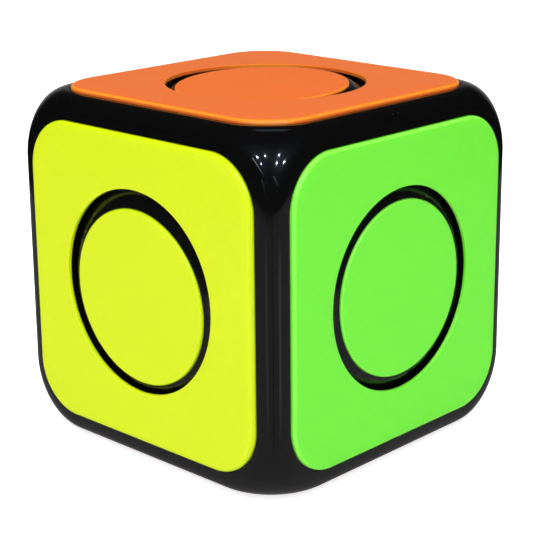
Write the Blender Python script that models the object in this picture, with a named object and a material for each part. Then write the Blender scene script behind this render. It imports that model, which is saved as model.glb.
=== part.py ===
"""A fidget cube: a rounded black frame with a coloured ring plate on each face, and a ball with a
coloured disc on each of its six flats that turns inside it. Metres, +Z up, origin at the cube's centre.

The frame is two identical halves, parted along a zigzag of six edges, and the ball is two half shells.
"""

import math

import bmesh
import bpy
from mathutils import Matrix, Vector

MM = 0.001

# Driving dimensions
CUBE = 50.0 * MM  # across opposite ring plates
TURN = math.radians(1.8)  # how far the ball stands off its aligned place, about X

PLATE_TOP = CUBE / 2
PLATE_THICK = 0.95 * MM
PLATE_HALF = 0.424 * CUBE
PLATE_CORNER = 0.144 * CUBE
PLATE_HOLE = 0.28 * CUBE
PLATE_ROUND = 0.5 * MM
PLATE_ROUND_STEPS = 2
PLATE_LIP = 0.5 * MM  # thickness at the hole, where the plate reaches over the frame's collar
LIP_ROUND = 0.15 * MM
PLATE_SEAT_GAP = 0.1 * MM

FACE = 0.488 * CUBE  # centre to the frame's flat faces
EDGE_ROUND = 2.75 * MM
CORNER_ROUND = 6.5 * MM  # of the frame's square faces, which softens the eight corners
RECESS_GAP = 0.15 * MM
RECESS_FLOOR = PLATE_TOP - PLATE_THICK - PLATE_SEAT_GAP
FRAME_HOLE = PLATE_HOLE + 0.05 * MM
COLLAR = PLATE_HOLE + 0.6 * MM  # outer radius of the frame's black collar inside each plate's hole
COLLAR_TOP = PLATE_TOP - PLATE_LIP - 0.05 * MM
COLLAR_GAP = 0.1 * MM
COLLAR_ROOT = 0.9 * FACE
HOLE_ROOT = 0.8 * FACE
SEAM = 0.1 * MM

BALL = 0.55 * CUBE  # radius
BALL_PLAY = 0.3 * MM
CAVITY = BALL + BALL_PLAY
FLAT = 0.49 * CUBE  # centre to the ball's flats
BALL_INSIDE = 21.0 * MM
DISC_TOP = 0.496 * CUBE
DISC_THICK = 1.5 * MM
DISC_RADIUS = 0.2425 * CUBE
DISC_ROUND = 0.3 * MM
DISC_GAP = 0.12 * MM
DISC_SEAT_GAP = 0.1 * MM
FLAT_CORNER = 1.0 * MM  # of the square blocks that cut the flats

WEIGHT = 6.0 * MM
HOLDER_BORE = WEIGHT + 0.15 * MM
HOLDER = 7.6 * MM
HOLDER_MOUTH = 3.0 * MM  # height of the holder's mouth above the centre
POCKET = HOLDER + 0.3 * MM
POST = 12.5 * MM

MAGNET_RADIUS = 2.5 * MM
MAGNET_LENGTH = 3.0 * MM
MAGNET_GAP = 0.1 * MM
MAGNET_OPENING = 2.0 * MM  # how far a magnet's pocket runs out into the space inside
BALL_MAGNET_FACE = BALL - 0.7 * MM
FRAME_MAGNET_FACE = CAVITY + 0.6 * MM

FRAME_SCREW_AT = 0.35 * CUBE  # in both directions from a face's centre
FRAME_SCREW_HEAD = RECESS_FLOOR - 0.2 * MM
FRAME_SCREW = dict(head=1.6 * MM, head_high=1.3 * MM, shank=0.8 * MM, length=6.9 * MM)
BALL_SCREW_AT = 9.6 * MM
BALL_SCREW_HEAD = 9.6 * MM
BALL_SCREW = dict(head=1.8 * MM, head_high=1.6 * MM, shank=1.0 * MM, length=17.0 * MM)
SCREW_GAP = 0.15 * MM
SCREW_SEAT_GAP = 0.05 * MM
SCREW_TIP_GAP = 0.2 * MM
SCREW_TAPER = 0.6 * MM  # length of the point
SOCKET = 0.5  # of the head's width
SOCKET_DEPTH = 0.6  # of the head's height

ROUND = 40  # sides of the large circles
HOLLOW_ROUND = 28  # sides of the ball's hollow
HOLLOW_STEPS = 10  # facets up its wall
CORE_ROUND = 20  # sides of the weight and its holder
SMALL_ROUND = 12  # sides of screws and magnets
EDGE_STEPS = 4  # facets around the frame's rounded edges
CORNER_STEPS = 4  # facets around the corners of the frame's faces
PLATE_STEPS = 5  # facets around the corners of the plates
SHARP = math.radians(35)
WELD = 0.01 * MM

FACES = {
    "orange": Vector((0, 0, 1)),
    "red": Vector((0, 0, -1)),
    "green": Vector((1, 0, 0)),
    "blue": Vector((-1, 0, 0)),
    "white": Vector((0, 1, 0)),
    "yellow": Vector((0, -1, 0)),
}
# Where the frame halves meet at a corner, one face belongs to the other half: that face takes the screw.
SCREWED_CORNERS = {
    "yellow": Vector((1, -1, 1)),
    "green": Vector((1, -1, -1)),
    "red": Vector((1, 1, -1)),
    "white": Vector((-1, 1, -1)),
    "blue": Vector((-1, 1, 1)),
    "orange": Vector((-1, -1, 1)),
}

COLOURS = {
    "black": (0.012, 0.012, 0.013),
    "orange": (0.85, 0.19, 0.046),
    "red": (0.65, 0.03, 0.025),
    "green": (0.2, 0.87, 0.07),
    "blue": (0.02, 0.16, 0.7),
    "white": (0.85, 0.85, 0.83),
    "yellow": (0.75, 0.9, 0.024),
    "grey": (0.25, 0.25, 0.26),
    "steel": (0.6, 0.6, 0.61),
    "nickel": (0.66, 0.65, 0.62),
}
METALS = ("steel", "nickel")


def clear_scene():
    for obj in list(bpy.data.objects):
        bpy.data.objects.remove(obj, do_unlink=True)


def material_for(name, colour, rough):
    material = bpy.data.materials.new(name)
    material.use_nodes = True
    shader = material.node_tree.nodes["Principled BSDF"]
    shader.inputs["Base Color"].default_value = (*COLOURS[colour], 1)
    shader.inputs["Roughness"].default_value = rough
    shader.inputs["Metallic"].default_value = 1.0 if colour in METALS else 0.0
    material.diffuse_color = (*COLOURS[colour], 1)
    return material


def add_object(name, mesh, colour="black", rough=0.3, parent=None):
    obj = bpy.data.objects.new(name, mesh)
    bpy.context.collection.objects.link(obj)
    mesh.materials.clear()
    mesh.materials.append(material_for(name, colour, rough))
    obj.parent = parent
    return obj


def mesh_from(bm, name):
    bmesh.ops.recalc_face_normals(bm, faces=bm.faces)
    mesh = bpy.data.meshes.new(name)
    bm.to_mesh(mesh)
    bm.free()
    mesh.shade_smooth()
    mesh.set_sharp_from_angle(angle=SHARP)
    return mesh


def turn_to(direction):
    """The rotation that takes +Z to a direction."""
    return direction.to_track_quat("Z", "Y").to_matrix().to_4x4()


def spun_rings(bm, profile, sides):
    """A ring of points about Z for each (radius, height); a point on the axis stands for its whole ring."""
    rings = []
    for radius, height in profile:
        if radius == 0:
            rings.append([bm.verts.new((0, 0, height))] * sides)
            continue
        angles = (2 * math.pi * n / sides for n in range(sides))
        rings.append([bm.verts.new((radius * math.cos(a), radius * math.sin(a), height)) for a in angles])
    return rings


def join_rings(bm, pairs):
    for lower, upper in pairs:
        for n in range(len(lower)):
            bm.faces.new(dict.fromkeys((lower[n - 1], lower[n], upper[n], upper[n - 1])))


def lathe_mesh(name, profile, sides):
    """A solid of revolution about Z, from a profile of (radius, height) that starts and ends on the axis."""
    bm = bmesh.new()
    rings = spun_rings(bm, profile, sides)
    join_rings(bm, zip(rings, rings[1:]))
    return mesh_from(bm, name)


def ring_mesh(name, profile, sides):
    """A ring about Z, from a closed profile of (radius, height) that stays off the axis."""
    bm = bmesh.new()
    rings = spun_rings(bm, profile, sides)
    join_rings(bm, zip(rings, rings[1:] + rings[:1]))
    return mesh_from(bm, name)


def cylinder_mesh(name, radius, low, high, sides=SMALL_ROUND):
    return lathe_mesh(name, [(0, low), (radius, low), (radius, high), (0, high)], sides)


def arc(centre, radius, start, end, steps):
    """Points (radius, height) along an arc, with the angles in degrees."""
    angles = (math.radians(start + (end - start) * n / steps) for n in range(steps + 1))
    return [(centre[0] + radius * math.cos(a), centre[1] + radius * math.sin(a)) for a in angles]


def rounded_square(half, corner, steps):
    """The outline of a square with rounded corners, anticlockwise."""
    outline = []
    for quarter in range(4):
        spin = Matrix.Rotation(math.pi / 2 * quarter, 2)
        for x, y in arc((half - corner, half - corner), corner, 0, 90, steps):
            outline.append(spin @ Vector((x, y)))
    return outline


def stack_mesh(name, levels):
    """A solid through outlines of as many points each, given as (outline, height) from the bottom up."""
    bm = bmesh.new()
    rings = [[bm.verts.new((*point, height)) for point in outline] for outline, height in levels]
    join_rings(bm, zip(rings, rings[1:]))
    bm.faces.new(rings[0])
    bm.faces.new(rings[-1])
    return mesh_from(bm, name)


def prism_mesh(name, outline, low, high):
    return stack_mesh(name, [(outline, low), (outline, high)])


def sphere_mesh(name, radius, around, rows):
    profile = [(0, -radius), *arc((0, 0), radius, -90, 90, rows)[1:-1], (0, radius)]
    return lathe_mesh(name, profile, around)


def cutter(name, mesh, place=None):
    obj = add_object(name, mesh)
    obj.hide_render = True
    obj.display_type = "WIRE"
    obj.matrix_world = place or Matrix.Identity(4)
    return obj


def combine(base, other, operation):
    modifier = base.modifiers.new(operation.title(), "BOOLEAN")
    modifier.operation = operation
    modifier.solver = "EXACT"
    modifier.object = other


def apply_modifiers(obj):
    """Bakes an object's modifiers into its mesh, and removes the cutters that they used."""
    graph = bpy.context.evaluated_depsgraph_get()
    graph.update()
    mesh = bpy.data.meshes.new_from_object(obj.evaluated_get(graph))
    used = {m.object for m in obj.modifiers if m.type == "BOOLEAN"}
    obj.modifiers.clear()
    obj.data = mesh
    for other in used:
        bpy.data.objects.remove(other, do_unlink=True)
    mesh.shade_smooth()
    mesh.set_sharp_from_angle(angle=SHARP)


def cut_all(base, pieces):
    for piece in pieces:
        combine(base, piece, "DIFFERENCE")
    apply_modifiers(base)


# ---------------------------------------------------------------- frame


def frame_blank_mesh():
    """A cube with rounded edges and softer corners: the hull of its six square faces' rounded rims."""
    reach = FACE - EDGE_ROUND
    bm = bmesh.new()
    for normal in FACES.values():
        place = turn_to(normal)
        outline = rounded_square(reach, CORNER_ROUND, CORNER_STEPS)
        inner = rounded_square(reach - EDGE_ROUND, CORNER_ROUND - EDGE_ROUND, CORNER_STEPS)
        for point, inside in zip(outline, inner):
            outward = (point - inside).normalized()
            for step in range(EDGE_STEPS + 1):
                lean = math.pi / 2 * step / EDGE_STEPS
                side = point + outward * EDGE_ROUND * math.sin(lean)
                bm.verts.new(place @ Vector((*side, reach + EDGE_ROUND * math.cos(lean))))
    bmesh.ops.remove_doubles(bm, verts=bm.verts, dist=WELD)
    hull = bmesh.ops.convex_hull(bm, input=bm.verts)
    loose = [v for v in hull["geom_interior"] if isinstance(v, bmesh.types.BMVert)]
    bmesh.ops.delete(bm, geom=loose, context="VERTS")
    bmesh.ops.dissolve_limit(bm, angle_limit=math.radians(0.2), verts=bm.verts, edges=bm.edges)
    return mesh_from(bm, "frame_blank")


def half_cutter_mesh(side):
    """Three of the six pyramids from the cube's centre to its faces: those of +X +Y +Z, or of -X -Y -Z."""
    far = CUBE * side
    corners = {}
    bm = bmesh.new()
    for signs in ((1, 1, 1), (1, -1, 1), (1, -1, -1), (1, 1, -1), (-1, 1, -1), (-1, 1, 1), (-1, -1, 1)):
        corners[signs] = bm.verts.new(Vector(signs) * far)
    centre = bm.verts.new((0, 0, 0))
    top = corners[1, 1, 1]
    rim = [corners[signs] for signs in list(corners)[1:]]
    for n in range(0, 6, 2):
        bm.faces.new((top, rim[n - 1], rim[n], rim[(n + 1) % 6]))
    for n in range(6):
        bm.faces.new((centre, rim[n], rim[(n + 1) % 6]))
    bmesh.ops.translate(bm, verts=bm.verts, vec=Vector((1, 1, 1)) * side * SEAM / 2 / math.sqrt(2))
    return mesh_from(bm, "half_cutter")


def corner_screw_place(name):
    """Where a frame screw's head sits, with +Z pointing out of its face."""
    normal = FACES[name]
    corner = SCREWED_CORNERS[name]
    across = (corner - normal * corner.dot(normal)) * FRAME_SCREW_AT
    return Matrix.Translation(across + normal * FRAME_SCREW_HEAD) @ turn_to(normal)


def add_collars(half):
    """Cuts a recess and a hole for each plate, and lines the hole with a collar."""
    outline = rounded_square(PLATE_HALF + RECESS_GAP, PLATE_CORNER + RECESS_GAP, PLATE_STEPS)
    middle = (FRAME_HOLE + COLLAR) / 2
    wall = [(COLLAR, COLLAR_ROOT), (COLLAR, COLLAR_TOP), (FRAME_HOLE, COLLAR_TOP), (FRAME_HOLE, COLLAR_ROOT)]
    for normal in FACES.values():
        place = turn_to(normal)
        recess = prism_mesh("recess", outline, RECESS_FLOOR, CUBE)
        hole = cylinder_mesh("hole", middle, HOLE_ROOT, CUBE, ROUND)
        combine(half, cutter("recess", recess, place), "DIFFERENCE")
        combine(half, cutter("hole", hole, place), "DIFFERENCE")
        combine(half, cutter("collar", ring_mesh("collar", wall, ROUND), place), "UNION")
    apply_modifiers(half)


def frame_cutters():
    """The spaces in the frame for the ball, the screws and the two magnets."""
    half_facet = Matrix.Rotation(math.pi / ROUND, 4, "Z")
    yield cutter("cut_cavity", sphere_mesh("cut_cavity", CAVITY, ROUND, ROUND // 2), half_facet)
    for name in FACES:
        screw_hole = screw_hole_mesh(FRAME_SCREW, PLATE_TOP - FRAME_SCREW_HEAD)
        yield cutter("cut_screw", screw_hole, corner_screw_place(name))
    for side in (1, -1):
        low = FRAME_MAGNET_FACE - MAGNET_OPENING
        high = FRAME_MAGNET_FACE + MAGNET_LENGTH + MAGNET_GAP
        pocket = cylinder_mesh("cut_magnet", MAGNET_RADIUS + MAGNET_GAP, low, high)
        yield cutter("cut_magnet", pocket, turn_to(Vector((1, 1, 1)) * side))


def make_frame(root):
    for name, side in (("frame_half_a", 1), ("frame_half_b", -1)):
        half = add_object(name, frame_blank_mesh(), "black", 0.12, root)
        add_collars(half)
        cut_all(half, frame_cutters())
        combine(half, cutter("half_cutter", half_cutter_mesh(side)), "INTERSECT")
        apply_modifiers(half)
    for side, label in ((1, "a"), (-1, "b")):
        magnet = magnet_mesh("frame_magnet_" + label, FRAME_MAGNET_FACE)
        obj = add_object("frame_magnet_" + label, magnet, "nickel", 0.25, root)
        obj.matrix_local = turn_to(Vector((1, 1, 1)) * side)
    for name in FACES:
        screw = add_object("frame_screw_" + name, screw_mesh(FRAME_SCREW), "steel", 0.3, root)
        screw.matrix_local = corner_screw_place(name)


def magnet_mesh(name, low):
    return cylinder_mesh(name, MAGNET_RADIUS, low, low + MAGNET_LENGTH)


def screw_mesh(size):
    """A socket head screw, with the top of its head at the origin."""
    head, head_high, shank = size["head"], size["head_high"], size["shank"]
    tip = -head_high - size["length"]
    socket = SOCKET * head
    floor = -SOCKET_DEPTH * head_high
    profile = [(0, tip), (shank / 2, tip), (shank, tip + SCREW_TAPER), (shank, -head_high)]
    profile += [(head, -head_high), (head, 0), (socket, 0), (socket, floor), (0, floor)]
    return lathe_mesh("screw", profile, SMALL_ROUND)


def screw_hole_mesh(size, up):
    """The stepped hole that a screw sits in, open above its head as far as up."""
    head = size["head"] + SCREW_GAP
    shank = size["shank"] + SCREW_GAP / 2
    seat = -size["head_high"] - SCREW_SEAT_GAP
    deep = -size["head_high"] - size["length"] - SCREW_TIP_GAP
    profile = [(0, deep), (shank, deep), (shank, seat), (head, seat), (head, up), (0, up)]
    return lathe_mesh("cut_screw", profile, SMALL_ROUND)


def make_plates(root):
    """The ring plates: rounded squares with a round hole, whose thin lip reaches over the frame's collar."""
    low = PLATE_TOP - PLATE_THICK
    levels = [(rounded_square(PLATE_HALF, PLATE_CORNER, PLATE_STEPS), low)]
    for inset, height in arc((PLATE_ROUND, PLATE_TOP - PLATE_ROUND), PLATE_ROUND, 180, 90, PLATE_ROUND_STEPS):
        outline = rounded_square(PLATE_HALF - inset, PLATE_CORNER - inset, PLATE_STEPS)
        levels.append((outline, height))
    under = COLLAR + COLLAR_GAP
    wide = PLATE_HOLE + 2 * LIP_ROUND
    profile = [(0, 0), (under, 0), (under, PLATE_TOP - PLATE_LIP), (PLATE_HOLE, PLATE_TOP - PLATE_LIP)]
    over = PLATE_TOP + LIP_ROUND
    profile += [(PLATE_HOLE, PLATE_TOP - LIP_ROUND), (wide, over), (0, over)]
    for name, normal in FACES.items():
        plate = add_object("plate_" + name, stack_mesh("plate_" + name, levels), name, 0.35, root)
        cut_all(plate, [cutter("cut_plate", lathe_mesh("cut_plate", profile, ROUND))])
        plate.matrix_local = turn_to(normal)


# ---------------------------------------------------------------- ball


def ball_cutters():
    """Every space in the ball but the one between its wall and its post."""
    far = CUBE
    for normal in FACES.values():
        place = turn_to(normal)
        block = prism_mesh("cut_flat", rounded_square(FLAT, FLAT_CORNER, 1), FLAT, far)
        yield cutter("cut_flat", block, place)
        recess = DISC_TOP - DISC_THICK - DISC_SEAT_GAP
        wide = DISC_RADIUS + DISC_GAP
        yield cutter("cut_disc", cylinder_mesh("cut_disc", wide, recess, far, ROUND), place)
    for corner in corners_of_cube():
        high = BALL_MAGNET_FACE + MAGNET_GAP
        pocket = cylinder_mesh("cut_magnet", MAGNET_RADIUS + MAGNET_GAP, BALL_INSIDE - MAGNET_OPENING, high)
        yield cutter("cut_magnet", pocket, turn_to(corner))
    yield cutter("cut_pocket", sphere_mesh("cut_pocket", POCKET, CORE_ROUND, CORE_ROUND // 2))
    for place in ball_screw_places():
        yield cutter("cut_screw", screw_hole_mesh(BALL_SCREW, DISC_TOP - BALL_SCREW_HEAD), place)


def corners_of_cube():
    signs = (1, -1)
    return [Vector((x, y, z)) for x in signs for y in signs for z in signs]


def ball_screw_places():
    for n in range(3):
        angle = math.radians(90 + 120 * n)
        at = (BALL_SCREW_AT * math.cos(angle), BALL_SCREW_AT * math.sin(angle), BALL_SCREW_HEAD)
        yield Matrix.Translation(at)


def ball_hollow_mesh():
    """The space between the ball's wall and the post at its middle."""
    rise = math.degrees(math.acos(POST / BALL_INSIDE))
    return ring_mesh("cut_hollow", arc((0, 0), BALL_INSIDE, -rise, rise, HOLLOW_STEPS), HOLLOW_ROUND)


def make_ball(pivot):
    far = CUBE
    block = rounded_square(far, FLAT_CORNER, 1)
    for name, side in (("ball_half_top", 1), ("ball_half_bottom", -1)):
        half = add_object(name, sphere_mesh(name, BALL, ROUND, ROUND // 2), "black", 0.15)
        cut_all(half, ball_cutters())
        low, high = sorted((side * SEAM / 2, side * far))
        cutter_block = cutter("keep", prism_mesh("keep", block, low, high))
        combine(half, cutter("cut_hollow", ball_hollow_mesh()), "DIFFERENCE")
        combine(half, cutter_block, "INTERSECT")
        apply_modifiers(half)
        half.parent = pivot
    for number, place in enumerate(ball_screw_places(), 1):
        screw = add_object(f"ball_screw_{number}", screw_mesh(BALL_SCREW), "steel", 0.3, pivot)
        screw.matrix_local = place
    for number, corner in enumerate(corners_of_cube(), 1):
        mesh = magnet_mesh(f"ball_magnet_{number}", BALL_MAGNET_FACE - MAGNET_LENGTH)
        magnet = add_object(f"ball_magnet_{number}", mesh, "nickel", 0.25, pivot)
        magnet.matrix_local = turn_to(corner)


def make_discs(pivot):
    low = DISC_TOP - DISC_THICK
    rim = arc((DISC_RADIUS - DISC_ROUND, DISC_TOP - DISC_ROUND), DISC_ROUND, 0, 90, 2)
    profile = [(0, low), (DISC_RADIUS, low), *rim, (0, DISC_TOP)]
    for name, normal in FACES.items():
        disc = add_object("disc_" + name, lathe_mesh("disc_" + name, profile, ROUND), name, 0.35, pivot)
        disc.matrix_local = turn_to(normal)


def make_weight(weight_pivot, holder_pivot):
    weight = sphere_mesh("core_weight", WEIGHT, CORE_ROUND, CORE_ROUND // 2)
    add_object("core_weight", weight, "steel", 0.25, weight_pivot)
    inner_rise = math.degrees(math.asin(HOLDER_MOUTH / HOLDER_BORE))
    outer_rise = math.degrees(math.asin(HOLDER_MOUTH / HOLDER))
    outside = arc((0, 0), HOLDER, -90, outer_rise, 8)[1:]
    inside = arc((0, 0), HOLDER_BORE, inner_rise, -90, 7)[:-1]
    profile = [(0, -HOLDER), *outside, *inside, (0, -HOLDER_BORE)]
    holder = lathe_mesh("weight_holder", profile, CORE_ROUND)
    add_object("weight_holder", holder, "grey", 0.5, holder_pivot)


def make_pivot(name, parent):
    pivot = bpy.data.objects.new(name, None)
    bpy.context.collection.objects.link(pivot)
    pivot.parent = parent
    return pivot


def main():
    clear_scene()
    root = make_pivot("frame_root", None)
    turn_z = make_pivot("turn_z_pivot", root)
    turn_y = make_pivot("turn_y_pivot", turn_z)
    turn_x = make_pivot("turn_x_pivot", turn_y)
    turn_x.rotation_euler = (TURN, 0, 0)
    make_frame(root)
    make_plates(root)
    make_weight(turn_z, turn_y)
    make_ball(turn_x)
    make_discs(turn_x)
    bpy.context.view_layer.update()


main()
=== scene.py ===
import math

import bmesh
import bpy
import numpy as np
from mathutils import Matrix, Vector


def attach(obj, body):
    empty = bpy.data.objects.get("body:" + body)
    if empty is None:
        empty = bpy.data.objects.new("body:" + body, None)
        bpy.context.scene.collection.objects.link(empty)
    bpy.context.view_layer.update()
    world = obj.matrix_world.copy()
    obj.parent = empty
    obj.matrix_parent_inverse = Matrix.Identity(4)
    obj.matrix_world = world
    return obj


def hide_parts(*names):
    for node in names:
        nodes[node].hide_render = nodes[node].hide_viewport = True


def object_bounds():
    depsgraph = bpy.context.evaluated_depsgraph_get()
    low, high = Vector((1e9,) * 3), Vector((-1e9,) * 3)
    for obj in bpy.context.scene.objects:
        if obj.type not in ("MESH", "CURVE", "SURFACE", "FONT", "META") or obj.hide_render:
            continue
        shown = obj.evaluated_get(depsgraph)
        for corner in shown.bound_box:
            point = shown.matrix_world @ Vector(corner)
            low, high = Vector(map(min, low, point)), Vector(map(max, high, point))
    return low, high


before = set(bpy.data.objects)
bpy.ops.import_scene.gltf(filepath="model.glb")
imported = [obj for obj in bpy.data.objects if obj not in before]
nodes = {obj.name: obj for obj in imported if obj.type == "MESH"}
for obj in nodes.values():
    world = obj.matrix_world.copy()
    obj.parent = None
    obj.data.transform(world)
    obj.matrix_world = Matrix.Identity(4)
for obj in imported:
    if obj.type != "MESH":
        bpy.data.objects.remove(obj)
cad_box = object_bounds()

MM = 0.001

FACES = {
    "orange": Vector((0, 0, 1)),
    "red": Vector((0, 0, -1)),
    "green": Vector((1, 0, 0)),
    "blue": Vector((-1, 0, 0)),
    "white": Vector((0, 1, 0)),
    "yellow": Vector((0, -1, 0)),
}


# ---------------------------------------------------------------- sizes, measured on the CAD nodes


def points_of(node):
    """A CAD node's corners, each once."""
    points = [v.co for v in nodes[node].data.vertices]
    return np.unique(np.round(np.array(points, float), 6), axis=0)


def measure():
    """Radii, heights and widths in metres. The ball is measured along the orange disc's axis."""
    size = {}
    plate = points_of("plate_orange")
    size["top"] = plate[:, 2].max()
    size["plate_floor"] = plate[:, 2].min()
    size["plate_half"] = plate[:, 0].max()
    size["hole"] = np.hypot(plate[:, 0], plate[:, 1]).min()
    straight_side = plate[plate[:, 0] > size["plate_half"] - 1e-5]
    size["plate_corner"] = size["plate_half"] - straight_side[:, 1].max()
    disc = points_of("disc_orange")
    axis = disc.mean(0) / np.linalg.norm(disc.mean(0))
    size["turn"] = math.atan2(-axis[1], axis[2])
    level = disc @ axis
    size["disc_top"] = level.max()
    size["disc_floor"] = level.min()
    size["disc"] = np.linalg.norm(disc - np.outer(level, axis), axis=1).max()
    ball = points_of("ball_half_top")
    size["ball"] = np.linalg.norm(ball, axis=1).max()
    size["flat"] = (ball @ axis).max()
    half = points_of("frame_half_a")
    size["face"] = half[:, 0].max()
    size["cavity"] = np.linalg.norm(half, axis=1).min()
    return size


SIZE = measure()


# ---------------------------------------------------------------- mesh helpers

WELD = 1e-7  # vertices closer than this are one
SOFT_ANGLE = 40  # edges up to this many degrees are shaded as smooth
CUT_ANGLE = 30  # the same for pieces with Boolean cuts


def new_object(name, bm, body=None, replaced=None, place=None):
    bmesh.ops.remove_doubles(bm, verts=bm.verts, dist=WELD)
    bmesh.ops.recalc_face_normals(bm, faces=bm.faces)
    mesh = bpy.data.meshes.new(name)
    bm.to_mesh(mesh)
    bm.free()
    obj = bpy.data.objects.new(name, mesh)
    bpy.context.scene.collection.objects.link(obj)
    if place is not None:
        mesh.transform(place)
    shade(mesh, SOFT_ANGLE)
    if body:
        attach(obj, body)
        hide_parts(replaced)
    return obj


def shade(mesh, degrees):
    """Smooth shading, except over edges sharper than an angle."""
    mesh.shade_smooth()
    mesh.set_sharp_from_angle(angle=math.radians(degrees))


def turn_to(direction):
    return direction.to_track_quat("Z", "Y").to_matrix().to_4x4()


def toward(azimuth, elevation):
    """A direction from two angles in degrees; azimuth 0 is -Y and 90 is +X."""
    a, e = math.radians(azimuth), math.radians(elevation)
    return Vector((math.sin(a) * math.cos(e), -math.cos(a) * math.cos(e), math.sin(e)))


def lathe(profile, sides):
    """A bmesh of a solid of revolution about Z; the profile starts and ends on the axis."""
    bm = bmesh.new()
    rings = []
    for radius, height in profile:
        if radius == 0:
            rings.append([bm.verts.new((0, 0, height))] * sides)
            continue
        turns = (2 * math.pi * n / sides for n in range(sides))
        rings.append([bm.verts.new((radius * math.cos(a), radius * math.sin(a), height)) for a in turns])
    join_rings(bm, rings)
    return bm


def join_rings(bm, rings, closed=False):
    """Faces between each ring of vertices and the next, and back to the first if closed."""
    pairs = list(zip(rings, rings[1:] + rings[:1] if closed else rings[1:]))
    for lower, upper in pairs:
        count = len(lower)
        for n in range(count):
            corners = dict.fromkeys((lower[n], lower[(n + 1) % count], upper[(n + 1) % count], upper[n]))
            if len(corners) > 2:
                bm.faces.new(corners)


def arc(centre, radius, start, end, steps):
    angles = (math.radians(start + (end - start) * n / steps) for n in range(steps + 1))
    return [(centre[0] + radius * math.cos(a), centre[1] + radius * math.sin(a)) for a in angles]


def ring(profile, sides):
    """A bmesh of a ring about Z, from a closed profile that stays off the axis."""
    bm = bmesh.new()
    rings = []
    for radius, height in profile:
        turns = (2 * math.pi * n / sides for n in range(sides))
        rings.append([bm.verts.new((radius * math.cos(a), radius * math.sin(a), height)) for a in turns])
    join_rings(bm, rings, closed=True)
    return bm


def boolean(obj, cutters, operation):
    """Joins closed meshes to obj or cuts them out, one after another, and keeps the result as its mesh."""
    for tool in cutters:
        modifier = obj.modifiers.new("cut", "BOOLEAN")
        modifier.operation = operation
        modifier.solver = "MANIFOLD"
        modifier.object = tool
    graph = bpy.context.evaluated_depsgraph_get()
    graph.update()
    mesh = bpy.data.meshes.new_from_object(obj.evaluated_get(graph))
    obj.modifiers.clear()
    obj.data = mesh
    for tool in cutters:
        bpy.data.objects.remove(tool, do_unlink=True)


def cutter(bm, place=None):
    """An object that boolean uses up."""
    return new_object("cutter", bm, place=place)


# ---------------------------------------------------------------- frame

SOFT_CORNER = 0.36 * SIZE["face"]  # how far the softening of the eight corners reaches
EDGE_ROUND = 0.054 * SIZE["face"]
SOFTNESS = 8  # a higher power gives crisper corners
FRAME_STEPS = 14  # facets from a face to the middle of an edge
SEAM_LIP = math.radians(1.0)  # half the width of the groove along the seam
SEAM_DEPTH = 0.05 * MM
SEAM_END = 0.72 * SIZE["face"]  # the groove fades out before the corners
SEAM_TAPER = 0.12 * SIZE["face"]
SEAM_GAP = 0.002 * MM
RECESS_GAP = 0.15 * MM
RECESS_FLOOR = SIZE["plate_floor"] - 0.1 * MM
FRAME_HOLE = SIZE["hole"] + 0.04 * MM
PLATE_LIP = 0.5 * MM
COLLAR = SIZE["hole"] + 0.6 * MM  # the frame's collar, which lines each plate's hole up to its lip
COLLAR_TOP = SIZE["top"] - PLATE_LIP - 0.04 * MM
COLLAR_GAP = 0.1 * MM
COLLAR_EDGE = 0.06 * MM
COLLAR_DEPTH = 2 * MM  # how far the collar reaches below the plate's recess
TINY = 1e-4  # keeps a direction off the planes where soft_length has a crease
SLOPE_STEP = 1e-6
HOLE_SIDES = 192
PRISM_STEPS = 8
CAVITY_SIDES = 128


def soft_length(n):
    """Between the sum of a direction's parts and its length.

    It gives the frame's edges a small round and its corners a large one.
    """
    n = np.abs(n)
    x, y, z = n[..., 0], n[..., 1], n[..., 2]
    terms = np.stack([x + np.hypot(y, z), y + np.hypot(x, z), z + np.hypot(x, y)])
    return (terms**SOFTNESS).mean(0) ** (1 / SOFTNESS)


def skin_point(n, signs):
    """Where the frame's outer surface has the normal n, in the octant that signs names."""
    n = np.maximum(np.abs(n), TINY)
    step = SLOPE_STEP
    gradient = [(soft_length(n + d) - soft_length(n - d)) / (2 * step) for d in np.eye(3) * step]
    core = SIZE["face"] - EDGE_ROUND - SOFT_CORNER
    return signs * (core + SOFT_CORNER * np.array(gradient) + EDGE_ROUND * n / np.linalg.norm(n))


def face_grid(normal):
    """A face's part of the frame's skin, from edge middle to edge middle, as rows of points."""
    u_axis = Vector((0, 0, 1)) if abs(normal.z) < 0.5 else Vector((1, 0, 0))
    v_axis = normal.cross(u_axis)
    angles = [math.pi / 4 * n / FRAME_STEPS for n in range(FRAME_STEPS + 1)]
    angles.insert(FRAME_STEPS, math.pi / 4 - SEAM_LIP)
    angles = sorted(angles)
    ticks = [(-1, a) for a in reversed(angles)] + [(1, a) for a in angles]
    rows = []
    for u_sign, u in ticks:
        row = []
        for v_sign, v in ticks:
            n = normal + u_axis * math.tan(u) * u_sign + v_axis * math.tan(v) * v_sign
            signs = normal + u_axis * u_sign + v_axis * v_sign
            row.append(skin_point(np.array(n.normalized()), np.array(signs)))
        rows.append(row)
    return rows


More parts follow.
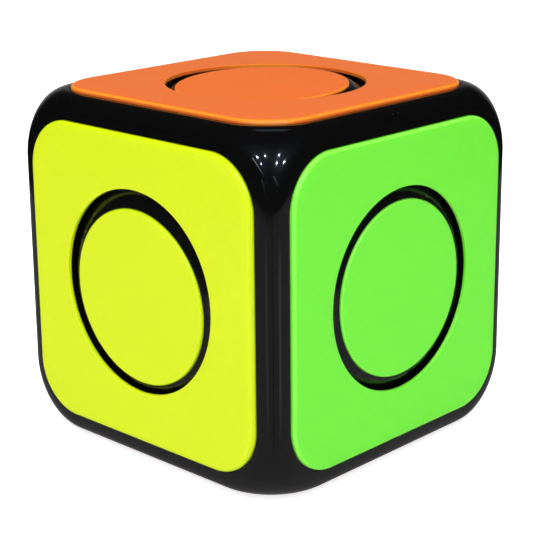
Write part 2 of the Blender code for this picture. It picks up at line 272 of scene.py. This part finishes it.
def frame_half(name, side):
    """The three faces on one side of the cube's diagonal, cut out for the plates, the holes and the ball."""
    own = [normal for normal in FACES.values() if (normal.x + normal.y + normal.z) * side > 0]
    bm = bmesh.new()
    for normal in own:
        grid = [[bm.verts.new(point) for point in row] for row in face_grid(normal)]
        for low, high in zip(grid, grid[1:]):
            for n in range(len(low) - 1):
                bm.faces.new((low[n], low[n + 1], high[n + 1], high[n]))
    bmesh.ops.remove_doubles(bm, verts=bm.verts, dist=WELD)
    rim = [edge for edge in bm.edges if edge.is_boundary]
    for vert in {vert for edge in rim for vert in edge.verts}:
        along = min(abs(c) for c in vert.co)
        depth = SEAM_DEPTH * min(1, max(0, (SEAM_END - along) / SEAM_TAPER))
        vert.co *= 1 - depth / vert.co.length
    centre = bm.verts.new((0, 0, 0))
    for edge in rim:
        bm.faces.new((*edge.verts, centre))
    shift = Vector((1, 1, 1)) * side * SEAM_GAP / math.sqrt(2)
    bmesh.ops.translate(bm, verts=bm.verts, vec=shift)
    half = new_object(name + "_shell", bm)
    far = 2 * SIZE["face"]
    root = RECESS_FLOOR - COLLAR_DEPTH
    edge = COLLAR_EDGE
    spare = 1 * MM
    tube = [(FRAME_HOLE - spare, root), (COLLAR, root), (COLLAR, COLLAR_TOP - edge),
            (COLLAR - edge, COLLAR_TOP), (FRAME_HOLE - spare, COLLAR_TOP)]
    hole = [(0, root - spare), (FRAME_HOLE, root - spare), (FRAME_HOLE, COLLAR_TOP - edge),
            (FRAME_HOLE + 2 * edge, COLLAR_TOP + edge), (FRAME_HOLE + 2 * edge, far), (0, far)]
    for normal in own:
        place = turn_to(normal)
        recess = prism(SIZE["plate_half"] + RECESS_GAP, SIZE["plate_corner"] + RECESS_GAP, RECESS_FLOOR, far)
        boolean(half, [cutter(recess, place)], "DIFFERENCE")
        boolean(half, [cutter(ring(tube, HOLE_SIDES), place)], "UNION")
        boolean(half, [cutter(lathe(hole, HOLE_SIDES), place)], "DIFFERENCE")
    cavity = SIZE["cavity"]
    inside = [(0, -cavity), *arc((0, 0), cavity, -90, 90, CAVITY_SIDES // 2)[1:-1], (0, cavity)]
    boolean(half, [cutter(lathe(inside, CAVITY_SIDES))], "DIFFERENCE")
    shade(half.data, CUT_ANGLE)
    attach(half, "frame")
    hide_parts(name)
    return half


def outline(half, corner, steps):
    """A rounded square's points, anticlockwise from the middle of its +X side."""
    points = []
    for quarter in range(4):
        spin = Matrix.Rotation(math.pi / 2 * quarter, 2)
        straight = [(half, (half - corner) * n / steps) for n in range(steps)]
        bend = arc((half - corner, half - corner), corner, 0, 90, 2 * steps)
        rest = [((half - corner) * (1 - n / steps), half) for n in range(1, steps)]
        points += [spin @ Vector(point) for point in (*straight, *bend, *rest)]
    return points


def prism(half, corner, low, high):
    """A rounded square block between two heights."""
    bm = bmesh.new()
    edge = outline(half, corner, PRISM_STEPS)
    rings = [[bm.verts.new((*point, height)) for point in edge] for height in (low, high)]
    join_rings(bm, rings)
    bm.faces.new(rings[0])
    bm.faces.new(rings[1])
    return bm


# ---------------------------------------------------------------- plates and discs

PLATE_EDGE = 0.55 * MM  # the round along a plate's outer edge
PLATE_RIM = 0.07 * MM  # and round its hole
PLATE_STEPS = 12
DISC_EDGE = 0.3 * MM
DISC_SIDES = 160


def plate(name, colour, normal):
    """A ring plate: its section goes round the hole's wall, over the face and down the outer wall."""
    top, low = SIZE["top"], SIZE["plate_floor"]
    half, corner = SIZE["plate_half"], SIZE["plate_corner"]
    square = outline(half, corner, PLATE_STEPS)
    bm = bmesh.new()
    rings = []

    def add_ring(inset, height):
        points = outline(half - inset, corner - inset, PLATE_STEPS)
        rings.append([bm.verts.new((*point, height)) for point in points])

    def add_circle(radius, height):
        points = [point.normalized() * radius for point in square]
        rings.append([bm.verts.new((*point, height)) for point in points])

    add_circle(COLLAR + COLLAR_GAP, low)
    add_circle(COLLAR + COLLAR_GAP, top - PLATE_LIP)
    add_circle(SIZE["hole"], top - PLATE_LIP)
    for radius, height in arc((SIZE["hole"] + PLATE_RIM, top - PLATE_RIM), PLATE_RIM, 180, 90, 5):
        add_circle(radius, height)
    add_circle(SIZE["hole"] + 8 * PLATE_RIM, top)
    add_ring(2 * PLATE_EDGE, top)
    for outward, height in arc((-PLATE_EDGE, top - PLATE_EDGE), PLATE_EDGE, 90, 0, 8):
        add_ring(-outward, height)
    add_ring(0, low)
    join_rings(bm, rings, closed=True)
    return new_object(f"{name}_ring", bm, "frame", name, turn_to(normal))


def disc(name, colour, normal):
    """A round cap with a rounded edge, on the ball's flat; the ball stands slightly turned about X."""
    top, low, wide = SIZE["disc_top"], SIZE["disc_floor"], SIZE["disc"]
    edge = DISC_EDGE
    profile = [(0, low), (wide, low), *arc((wide - edge, top - edge), edge, 0, 90, 6)]
    profile += [(wide - 2 * edge, top), (0.5 * wide, top), (0, top)]
    place = Matrix.Rotation(SIZE["turn"], 4, "X") @ turn_to(normal)
    return new_object(f"{name}_cap", lathe(profile, DISC_SIDES), "ball", name, place)


# ---------------------------------------------------------------- ball

BALL_SIDES = 192
BALL_SEAM = 0.05 * MM  # half the gap between the ball's halves
BALL_HOLLOW = 0.78  # of the ball's radius
FLAT_REACH = 0.8  # how far the cutter for a flat reaches sideways, of the ball's radius
SEAT_DEPTH = 0.1 * MM
SEAT_GAP = 0.12 * MM


def ball_half(name, side):
    """Half of the ball's shell, with a seat for each disc and a hollow inside."""
    radius = SIZE["ball"]
    lift = math.degrees(math.asin(BALL_SEAM / radius))
    inner = BALL_HOLLOW * radius
    inner_lift = math.degrees(math.asin(BALL_SEAM / inner))
    outside = arc((0, 0), radius, lift, 90, 64)[:-1]
    inside = arc((0, 0), inner, 90, inner_lift, 32)[1:]
    bm = lathe([(0, radius), *reversed(outside), *reversed(inside), (0, inner)], BALL_SIDES)
    shell = new_object(name + "_half_shell", bm)
    if side < 0:
        shell.data.transform(Matrix.Rotation(math.pi, 4, "X"))
    cutters = []
    far = 2 * radius
    for normal in FACES.values():
        if normal.z * side < -0.5:
            continue
        place = turn_to(normal)
        cutters.append(cutter(prism(FLAT_REACH * radius, 1 * MM, SIZE["flat"], far), place))
        floor = SIZE["disc_floor"] - SEAT_DEPTH
        wide = SIZE["disc"] + SEAT_GAP
        seat = lathe([(0, floor), (wide, floor), (wide, far), (0, far)], DISC_SIDES)
        cutters.append(cutter(seat, place))
    boolean(shell, cutters, "DIFFERENCE")
    shell.data.transform(Matrix.Rotation(SIZE["turn"], 4, "X"))
    shade(shell.data, CUT_ANGLE)
    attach(shell, "ball")
    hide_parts(name)
    return shell


# ---------------------------------------------------------------- materials


class Nodes:
    """A material's node tree, with short calls for adding and joining nodes."""

    def __init__(self, name):
        self.material = bpy.data.materials.new(name)
        self.material.use_nodes = True
        self.tree = self.material.node_tree
        self.shader = self.tree.nodes["Principled BSDF"]

    def add(self, kind, **values):
        node = self.tree.nodes.new(kind)
        for key, value in values.items():
            if key in node.inputs:
                node.inputs[key].default_value = value
            else:
                setattr(node, key, value)
        return node

    def link(self, source, target):
        self.tree.links.new(source, target)

    def place(self):
        return self.add("ShaderNodeTexCoord").outputs["Object"]

    def noise(self, scale, detail=2.0, rough=0.5, stretch=None):
        """Noise over the object's own place; stretch is a scale and a turn for its three axes."""
        node = self.add("ShaderNodeTexNoise", Scale=scale, Detail=detail, Roughness=rough)
        source = self.place()
        if stretch:
            mapping = self.add("ShaderNodeMapping")
            mapping.inputs["Scale"].default_value = stretch[0]
            mapping.inputs["Rotation"].default_value = stretch[1]
            self.link(source, mapping.inputs["Vector"])
            source = mapping.outputs["Vector"]
        self.link(source, node.inputs["Vector"])
        return node.outputs["Fac"]

    def ramp(self, source, low, high, low_value=0.0, high_value=1.0):
        """Low value at low and high value at high, straight between and level outside."""
        node = self.add("ShaderNodeMapRange")
        node.inputs["From Min"].default_value = low
        node.inputs["From Max"].default_value = high
        node.inputs["To Min"].default_value = low_value
        node.inputs["To Max"].default_value = high_value
        self.link(source, node.inputs["Value"])
        return node.outputs["Result"]

    def math(self, operation, first, second):
        node = self.add("ShaderNodeMath", operation=operation)
        for n, value in enumerate((first, second)):
            if isinstance(value, (int, float)):
                node.inputs[n].default_value = value
            else:
                self.link(value, node.inputs[n])
        return node.outputs["Value"]

    def distance(self, x, y):
        squares = self.math("ADD", self.math("MULTIPLY", x, x), self.math("MULTIPLY", y, y))
        return self.math("SQRT", squares, 0.0)

    def vector(self, operation, first, second, output="Vector"):
        node = self.add("ShaderNodeVectorMath", operation=operation)
        for n, value in enumerate((first, second)):
            if hasattr(value, "is_output"):
                self.link(value, node.inputs[n])
            else:
                node.inputs[n].default_value = value
        return node.outputs[output]

    def stroke(self, start, end, width):
        """1 on the surface along a line between two points, 0 away from it, fading towards its end."""
        line = end - start
        sideways = line.cross(start + line / 2).normalized()
        offset = self.vector("SUBTRACT", self.place(), start)
        along = self.vector("DOT_PRODUCT", offset, line / line.length_squared, "Value")
        away = self.vector("DOT_PRODUCT", offset, sideways, "Value")
        far = self.vector("LENGTH", offset, (0, 0, 0), "Value")
        mark = self.ramp(self.math("ABSOLUTE", away, 0.0), width, 0.3 * width)
        mark = self.math("MULTIPLY", mark, self.ramp(along, -0.05, 0.0))
        mark = self.math("MULTIPLY", mark, self.ramp(along, 1.0, 0.2))
        return self.math("MULTIPLY", mark, self.ramp(far, 2 * line.length, line.length))

    def mix(self, factor, first, second):
        node = self.add("ShaderNodeMix", data_type="RGBA")
        for name, value in (("Factor", factor), ("A", first), ("B", second)):
            socket = next(s for s in node.inputs if s.name == name and s.enabled)
            if hasattr(value, "is_output"):
                self.link(value, socket)
            else:
                socket.default_value = value
        return next(s for s in node.outputs if s.enabled)

    def bump(self, height, distance):
        node = self.add("ShaderNodeBump", Strength=1.0, Distance=distance)
        self.link(height, node.inputs["Height"])
        return node.outputs["Normal"]


CORNER_REACH = 1.5 * SIZE["top"]  # from the cube's centre to the skin near a corner
SCRATCHES = (  # azimuth and elevation of both ends in degrees, half width in mm, strength
    (41, 34, 43.5, 30.5, 0.045, 1.3),
    (45.5, 30.5, 46.5, 28.5, 0.14, 0.14),
    (43, 30, 44, 26.5, 0.12, 0.08),
)
GLOSS_COAT = (0.14, 0.35)  # weight and roughness of the haze round bright reflections
DUST_GREY = 0.16


def black_gloss(name, rough=0.05, colour=0.0022, scratches=()):
    """Piano-black plastic, with faint smears, hairline scratches and a few dust specks."""
    m = Nodes(name)
    m.shader.inputs["Coat Weight"].default_value = GLOSS_COAT[0]
    m.shader.inputs["Coat Roughness"].default_value = GLOSS_COAT[1]
    smear = m.noise(120, 4, 0.6)
    rough_value = m.ramp(smear, 0.35, 0.75, rough, rough + 0.05)
    long_lines = m.noise(260, 2, 0.5, stretch=((1, 14, 1), (0.3, 0.2, 0.9)))
    scratch = m.ramp(long_lines, 0.70, 0.74)
    dust_cells = m.add("ShaderNodeTexVoronoi", Scale=900.0)
    m.link(m.place(), dust_cells.inputs["Vector"])
    dust = m.ramp(dust_cells.outputs["Distance"], 0.10, 0.07)
    sparse = m.ramp(m.noise(240, 1), 0.62, 0.66, 0.0, 0.15)
    dust = m.math("MULTIPLY", dust, sparse)
    for a, e, end_a, end_e, width, strength in scratches:
        mark = m.stroke(toward(a, e) * CORNER_REACH, toward(end_a, end_e) * CORNER_REACH, width * MM)
        dust = m.math("MAXIMUM", dust, m.math("MULTIPLY", mark, strength))
    base = m.mix(dust, (colour, colour, colour * 1.06, 1), (DUST_GREY, DUST_GREY, DUST_GREY, 1))
    m.link(base, m.shader.inputs["Base Color"])
    m.link(m.math("ADD", rough_value, m.math("MULTIPLY", dust, 0.4)), m.shader.inputs["Roughness"])
    height = m.math("ADD", m.math("MULTIPLY", m.noise(45, 2), 0.35), m.math("MULTIPLY", scratch, -0.08))
    m.link(m.bump(height, 0.05 * MM), m.shader.inputs["Normal"])
    return m.material


PLASTIC_ROUGH = (0.27, 0.35)
PLASTIC_GRAIN = 0.0006 * MM
PLASTIC_GLOW = (0.4, 0.6 * MM)  # how much light passes under the surface, and how far
PAINTED_EDGE_FACING = (0.98, 0.85)  # largest part of the normal where the painted edge highlight and shade starts and is full


def colour_plastic(name, colour, painted_edge_light_shade):
    """Moulded plastic with a soft sheen and slight random changes of tone, and a painted highlight on
    rounded edges (a painted shade where the added colour is below zero).
    """
    m = Nodes(name)
    light = tuple(min(1.0, c * 1.01) for c in colour)
    dark = tuple(c * 0.99 for c in colour)
    # painted light: the edge colour is the face colour lightened into a painted highlight (orange, green)
    # and darkened into a painted shade (yellow)
    edge = tuple(min(1.0, c + lift) for c, lift in zip(colour, painted_edge_light_shade))
    base = m.mix(m.noise(60, 1), (*dark, 1), (*light, 1))
    parts = m.add("ShaderNodeSeparateXYZ")
    normal = m.add("ShaderNodeTexCoord").outputs["Normal"]
    m.link(m.vector("ABSOLUTE", normal, (0, 0, 0)), parts.inputs[0])
    squarest = m.math("MAXIMUM", parts.outputs["X"], parts.outputs["Y"])
    squarest = m.math("MAXIMUM", squarest, parts.outputs["Z"])
    # the painted edge highlight and shade goes where the normal leans away from the face's axis
    base = m.mix(m.ramp(squarest, *PAINTED_EDGE_FACING), base, (*edge, 1))
    m.link(base, m.shader.inputs["Base Color"])
    m.link(m.ramp(m.noise(90, 1), 0.0, 1.0, *PLASTIC_ROUGH), m.shader.inputs["Roughness"])
    m.link(m.bump(m.noise(1600, 1), PLASTIC_GRAIN), m.shader.inputs["Normal"])
    m.shader.inputs["Subsurface Weight"].default_value = PLASTIC_GLOW[0]
    m.shader.inputs["Subsurface Radius"].default_value = tuple(0.2 + c for c in colour)
    m.shader.inputs["Subsurface Scale"].default_value = PLASTIC_GLOW[1]
    return m.material


def bare_metal(name, colour, rough, stretch=None):
    """Metal with a fine grain in its colour, roughness and surface."""
    m = Nodes(name)
    m.shader.inputs["Metallic"].default_value = 1.0
    grain = m.noise(1500, 3, 0.6, stretch=stretch)
    shade_low = tuple(c * 0.88 for c in colour)
    m.link(m.mix(grain, (*shade_low, 1), (*colour, 1)), m.shader.inputs["Base Color"])
    m.link(m.ramp(grain, 0.3, 0.7, rough - 0.05, rough + 0.1), m.shader.inputs["Roughness"])
    m.link(m.bump(grain, 0.01 * MM), m.shader.inputs["Normal"])
    return m.material


def grey_plastic(name):
    """Plain moulded plastic, for the piece inside the ball."""
    m = Nodes(name)
    grain = m.noise(1200, 3)
    m.link(m.mix(grain, (0.2, 0.2, 0.21, 1), (0.28, 0.28, 0.29, 1)), m.shader.inputs["Base Color"])
    m.link(m.ramp(grain, 0.3, 0.7, 0.45, 0.6), m.shader.inputs["Roughness"])
    m.link(m.bump(grain, 0.02 * MM), m.shader.inputs["Normal"])
    return m.material


COLOURS = {
    "orange": (0.85, 0.17, 0.02),
    "red": (0.66, 0.022, 0.02),
    "green": (0.18, 0.86, 0.045),
    "blue": (0.015, 0.13, 0.66),
    "white": (0.84, 0.84, 0.82),
    "yellow": (0.715, 0.865, 0.002),
}
PAINTED_EDGE_LIGHT_SHADE = {  # what a rounded edge's colour adds to the face's: a painted highlight for orange and green, a painted shade for yellow
    "orange": (0.08, 0.12, 0.0),
    "green": (0.08, 0.09, 0.03),
    "yellow": (-0.12, -0.06, 0.0),
}


def give(obj, material):
    """The material becomes the object's only one."""
    obj.data.materials.clear()
    obj.data.materials.append(material)


# ---------------------------------------------------------------- building

SCREW_ANGLE = 35  # edges up to this many degrees are shaded as smooth
ROUND_ANGLE = 60


def build_object():
    """New meshes for what shows, and new materials for those and for the CAD pieces inside."""
    frame_black = black_gloss("frame_black", scratches=SCRATCHES)
    ball_black = black_gloss("ball_black", 0.14, 0.003)
    for name, side in (("frame_half_a", 1), ("frame_half_b", -1)):
        give(frame_half(name, side), frame_black)
    for name, side in (("ball_half_top", 1), ("ball_half_bottom", -1)):
        give(ball_half(name, side), ball_black)
    for colour, normal in FACES.items():
        # each plate and disc gets its colour with the painted highlight and shade on its rounded edges
        plastic = colour_plastic(colour + "_plastic", COLOURS[colour], PAINTED_EDGE_LIGHT_SHADE.get(colour, (0, 0, 0)))
        give(plate("plate_" + colour, colour, normal), plastic)
        give(disc("disc_" + colour, colour, normal), plastic)
    nickel = bare_metal("nickel", (0.66, 0.64, 0.6), 0.2)
    zinc = bare_metal("zinc", (0.6, 0.6, 0.62), 0.3, ((1, 1, 12), (0, 0, 0)))
    ground = bare_metal("ground_steel", (0.62, 0.62, 0.63), 0.15)
    holder = grey_plastic("holder_grey")
    for name, obj in nodes.items():
        if "magnet" in name:
            give(obj, nickel)
        elif "screw" in name:
            give(obj, zinc)
            shade(obj.data, SCREW_ANGLE)
        elif name == "core_weight":
            give(obj, ground)
            shade(obj.data, ROUND_ANGLE)
        elif name == "weight_holder":
            give(obj, holder)
            shade(obj.data, ROUND_ANGLE)


# ---------------------------------------------------------------- stage, light and camera

AZIMUTH = math.radians(42.80)  # the camera's: 0 is -Y and 90 degrees is +X
ELEVATION = math.radians(15.81)
ROLL = math.radians(-0.247)
DISTANCE = 9.03 * SIZE["top"]
SIDEWAYS = 0.1817 * SIZE["top"]
UPWARD = 0.1049 * SIZE["top"]
LENS = 106.32
SHIFT = (-0.06126, -0.0591)
TABLE_RADIUS = 0.184  # how far round the cube the mirrored floor reaches
TABLE_SHIFT = 0.012
TABLE_FADE = 0.009
TABLE_GLOW = 0.25
WALL_GLOW = 0.38  # the backdrop's mirrored foot, which fades with height
WALL_FADE = (math.radians(5), math.radians(24))
WALL_POWER = 3.0
WALL_BEHIND = (-0.75, -0.95)  # only the part beyond the cube glows
FLOOR_LIFT = 0.8  # extra light of the floor for the camera only
ROOM_GLOW = 0.012
AMBIENT = 0.42
LIGHT_DISTANCE = 1.0
KEY_SIZE = 0.6
KEY_WATTS = 6.6
ABOVE_SIZE = 0.3
ABOVE_WATTS = 4.9
STRIPS = ((-1, 0.25), (99, 0.38))  # heading from the front edge in degrees, strength
STRIP_WIDTH = math.radians(9)
STRIP_NEAR = (0.02, 0.04)  # where a strip fades in, from the front edge
STRIP_FAR = (0.14, 0.11)
LAMP_DISTANCE = 3.0
LAMP_COLOUR = (0.6, 0.78, 1.0)
LAMPS = (  # azimuth, elevation, size, watts, how many times as high as wide
    (9, 38, 0.12, 10.0, 0.4),
    (30, 47, 0.06, 10.0, 1.0),
    (17, 32, 0.05, 4.0, 1.0),
    (69, 46, 0.06, 10.0, 1.0),
    (63, 36, 0.06, 12.0, 1.0),
    (83, 30, 0.06, 10.0, 1.0),
    (-138, 55, 0.7, 0.7, 1.0),
)


def view_axes():
    """The camera's right, up and backward directions."""
    back = Vector((math.sin(AZIMUTH) * math.cos(ELEVATION), -math.cos(AZIMUTH) * math.cos(ELEVATION),
                   math.sin(ELEVATION)))
    right = Vector((math.cos(AZIMUTH), math.sin(AZIMUTH), 0))
    up = back.cross(right)
    rolled_right = math.cos(ROLL) * right + math.sin(ROLL) * up
    rolled_up = -math.sin(ROLL) * right + math.cos(ROLL) * up
    return rolled_right, rolled_up, back


def add_camera():
    """A long lens, a little off centre."""
    right, up, back = view_axes()
    data = bpy.data.cameras.new("camera")
    data.lens = LENS
    data.sensor_width = 36
    data.shift_x, data.shift_y = SHIFT
    data.clip_start = 0.01
    camera = bpy.data.objects.new("camera", data)
    bpy.context.scene.collection.objects.link(camera)
    spot = back * DISTANCE + right * SIDEWAYS + up * UPWARD
    turn = Matrix((right, up, back)).transposed().to_4x4()
    camera.matrix_world = Matrix.Translation(spot) @ turn
    bpy.context.scene.camera = camera


def add_stage():
    """A pale floor that curves up into a pale backdrop behind the cube."""
    floor_level = cad_box[0][2] - 0.05 * MM
    depth, wide, bend, high = 1.6, 3.0, 0.5, 2.0
    steps = 12
    section = [(-depth, 0), (depth - bend, 0)]
    section += [(depth - bend + bend * math.sin(a), bend - bend * math.cos(a))
                for a in (math.pi / 2 * n / steps for n in range(1, steps + 1))]
    section.append((depth, high))
    bm = bmesh.new()
    rows = [[bm.verts.new((x, along, up + floor_level)) for x in (-wide, wide)] for along, up in section]
    for low, upper in zip(rows, rows[1:]):
        bm.faces.new((low[0], low[1], upper[1], upper[0]))
    mesh = bpy.data.meshes.new("backdrop")
    bm.to_mesh(mesh)
    bm.free()
    mesh.transform(Matrix.Rotation(AZIMUTH, 4, "Z"))
    mesh.shade_smooth()
    obj = bpy.data.objects.new("backdrop", mesh)
    bpy.context.scene.collection.objects.link(obj)
    give(obj, floor_material())


def floor_material():
    """Pale paper, kept clear of grey for the camera. The cube mirrors only a dim table top near it."""
    m = Nodes("pale_floor")
    m.link(m.mix(m.noise(6, 2), (0.9, 0.9, 0.9, 1), (0.93, 0.93, 0.93, 1)), m.shader.inputs["Base Color"])
    m.shader.inputs["Roughness"].default_value = 0.9
    m.shader.inputs["Specular IOR Level"].default_value = 0.1
    m.shader.inputs["Emission Color"].default_value = (1, 1, 1, 1)
    path = m.add("ShaderNodeLightPath")
    lift = m.math("MULTIPLY", path.outputs["Is Camera Ray"], FLOOR_LIFT)
    m.link(lift, m.shader.inputs["Emission Strength"])
    place = m.add("ShaderNodeSeparateXYZ")
    m.link(m.place(), place.inputs[0])
    forward = m.math("ADD", m.math("MULTIPLY", place.outputs["X"], math.sin(AZIMUTH)),
                     m.math("MULTIPLY", place.outputs["Y"], -math.cos(AZIMUTH)))
    reach = m.distance(place.outputs["X"], place.outputs["Y"])
    table = m.distance(m.math("SUBTRACT", place.outputs["X"], TABLE_SHIFT), place.outputs["Y"])
    table = m.ramp(table, TABLE_RADIUS + TABLE_FADE, TABLE_RADIUS - TABLE_FADE)
    rise = m.math("DIVIDE", place.outputs["Z"], reach)
    low_wall = m.ramp(rise, math.tan(WALL_FADE[1]), math.tan(WALL_FADE[0]))
    behind = m.ramp(m.math("DIVIDE", forward, reach), *WALL_BEHIND)
    wall = m.math("MULTIPLY", m.math("POWER", low_wall, WALL_POWER), behind)
    wall = m.math("MULTIPLY", wall, m.ramp(reach, TABLE_RADIUS, 2 * TABLE_RADIUS))
    glow = m.math("MULTIPLY", table, TABLE_GLOW - ROOM_GLOW)
    glow = m.math("ADD", glow, m.math("MULTIPLY", wall, WALL_GLOW))
    glow = m.math("ADD", glow, floor_strips(m, place))
    mirrored = m.add("ShaderNodeEmission")
    m.link(m.math("ADD", glow, ROOM_GLOW), mirrored.inputs["Strength"])
    choose = m.add("ShaderNodeMixShader")
    m.link(path.outputs["Is Glossy Ray"], choose.inputs[0])
    m.link(m.shader.outputs[0], choose.inputs[1])
    m.link(mirrored.outputs[0], choose.inputs[2])
    m.link(choose.outputs[0], m.tree.nodes["Material Output"].inputs["Surface"])
    m.material.cycles.emission_sampling = "NONE"
    return m.material


def floor_strips(m, place):
    """Two bright lines on the table, which show as streaks in the cube's front edge."""
    edge = SIZE["face"]
    x = m.math("SUBTRACT", place.outputs["X"], edge)
    y = m.math("SUBTRACT", -edge, place.outputs["Y"])
    heading = m.math("ARCTAN2", x, y)
    reach = m.distance(x, y)
    along = m.math("MULTIPLY", m.ramp(reach, *STRIP_NEAR), m.ramp(reach, *STRIP_FAR))
    total = 0.0
    for degrees, strength in STRIPS:
        off = m.math("ABSOLUTE", m.math("SUBTRACT", heading, math.radians(degrees)), 0.0)
        strip = m.math("MULTIPLY", m.ramp(off, STRIP_WIDTH, 0.4 * STRIP_WIDTH), strength)
        total = m.math("ADD", strip, total)
    return m.math("MULTIPLY", total, along)


def add_lamp(name, azimuth, elevation, size, watts, long=1.0):
    """A lamp that only shows mirrored in the cube's glossy black."""
    light = add_area(name, toward(azimuth, elevation), LAMP_DISTANCE, size, watts, LAMP_COLOUR, True)
    light.data.shape = "RECTANGLE"
    light.data.size_y = size * long
    light.visible_diffuse = False
    light.visible_camera = False


def add_area(name, direction, distance, size, watts, colour=(1, 1, 1), glossy=False):
    """A soft square light that shines on the cube from a direction."""
    data = bpy.data.lights.new(name, "AREA")
    data.size = size
    data.energy = watts
    data.color = colour
    light = bpy.data.objects.new(name, data)
    bpy.context.scene.collection.objects.link(light)
    direction = Vector(direction).normalized()
    light.matrix_world = Matrix.Translation(direction * distance) @ turn_to(direction)
    light.visible_glossy = glossy
    return light


def add_world():
    """Even pale light all round, but a dark room as far as mirrored surfaces are concerned."""
    world = bpy.data.worlds.new("studio")
    bpy.context.scene.world = world
    world.use_nodes = True
    world.cycles.sampling_method = "NONE"
    tree = world.node_tree
    tree.nodes.clear()
    even = tree.nodes.new("ShaderNodeBackground")
    even.inputs["Color"].default_value = (1, 1, 1, 1)
    even.inputs["Strength"].default_value = AMBIENT
    room = tree.nodes.new("ShaderNodeBackground")
    room.inputs["Color"].default_value = (0.9, 0.95, 1.15, 1)
    room.inputs["Strength"].default_value = ROOM_GLOW
    path = tree.nodes.new("ShaderNodeLightPath")
    choose = tree.nodes.new("ShaderNodeMixShader")
    output = tree.nodes.new("ShaderNodeOutputWorld")
    tree.links.new(path.outputs["Is Glossy Ray"], choose.inputs[0])
    tree.links.new(even.outputs[0], choose.inputs[1])
    tree.links.new(room.outputs[0], choose.inputs[2])
    tree.links.new(choose.outputs[0], output.inputs[0])


def set_colours():
    """Plain colours, as a camera without a film look gives them."""
    scene = bpy.context.scene
    scene.view_settings.view_transform = "Standard"
    scene.view_settings.look = "None"


build_object()
add_stage()
add_world()
add_area("key", (math.sin(AZIMUTH), -math.cos(AZIMUTH), 1.0), LIGHT_DISTANCE, KEY_SIZE, KEY_WATTS)
add_area("above", (0, 0, 1), LIGHT_DISTANCE, ABOVE_SIZE, ABOVE_WATTS)
for n, lamp in enumerate(LAMPS, 1):
    add_lamp(f"lamp_{n}", *lamp)
add_camera()
set_colours()
